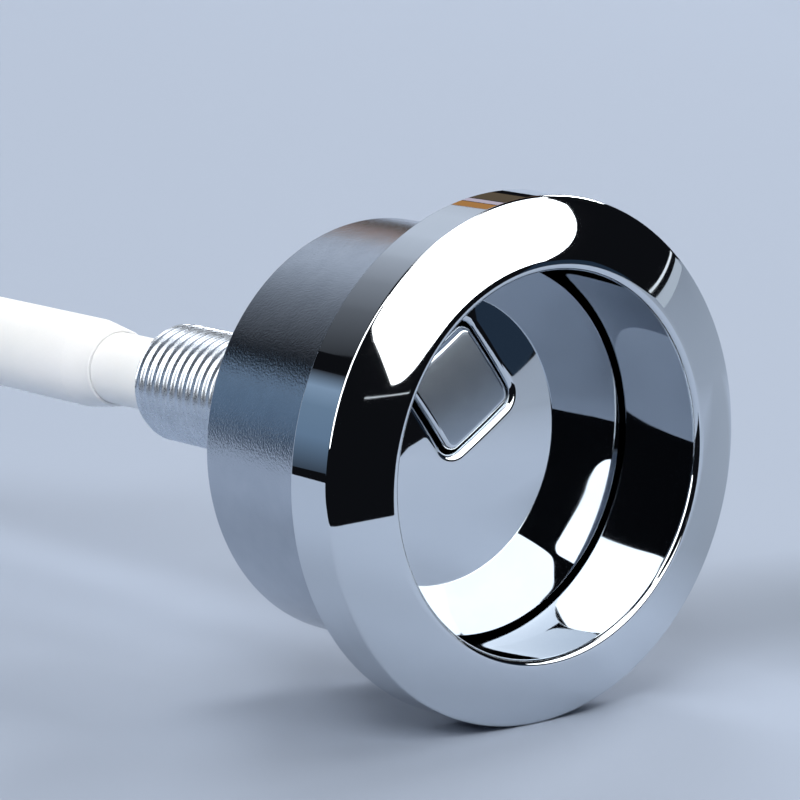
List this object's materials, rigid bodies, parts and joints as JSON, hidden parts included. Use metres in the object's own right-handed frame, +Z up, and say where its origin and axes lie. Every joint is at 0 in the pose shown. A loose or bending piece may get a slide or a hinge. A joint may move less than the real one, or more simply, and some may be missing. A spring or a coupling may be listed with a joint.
{
  "type": "push button cistern actuator",
  "caption": "Round flanged push button for a toilet cistern, with a domed full flush button, a small square half flush button set in the dome, a threaded stem and white push rods.",
  "frame": {"origin": "on the button's axis, in the plane where the back of the flange seats on the cistern", "axes": "+Y along the axis from the face to the rods, +Z up, +X to the right seen from the face; the small square button stands to the left of the top seen from the face"},
  "size_m": [0.058, 0.1327, 0.058],
  "materials": {
    "polished_chrome": "mirror polished chrome plating",
    "satin_chrome": "fine satin chrome plating",
    "white_plastic": "smooth white moulding",
    "black_plastic": "fine spark textured moulding",
    "spring_steel": "bright drawn wire",
    "nut_brass": "turned brass"
  },
  "bodies": {
    "housing": {"housing": "polished_chrome", "rear_cap": "satin_chrome", "cap_ring": "spring_steel", "stem_tube": "polished_chrome", "lock_nut": "nut_brass", "stem_bush": "white_plastic"},
    "full_button": {"round_button": "polished_chrome", "button_carrier": "black_plastic", "push_tube": "white_plastic", "rod_sleeve": "white_plastic", "return_spring": "spring_steel"},
    "half_button": {"square_cap": "satin_chrome", "square_plunger": "black_plastic", "half_rod": "white_plastic", "half_spring": "spring_steel"}
  },
  "joints": [
    {"name": "full_press", "type": "slide", "parent": "housing", "child": "full_button", "axis": [0, 1, 0], "range_m": [0, 0.005], "stiffness_N_per_m": 800, "springref_m": -0.005, "deforming": ["return_spring"]},
    {"name": "half_press", "type": "slide", "parent": "full_button", "child": "half_button", "axis": [0, 1, 0], "range_m": [0, 0.003], "stiffness_N_per_m": 500, "springref_m": -0.004, "deforming": ["half_spring"]}
  ]
}
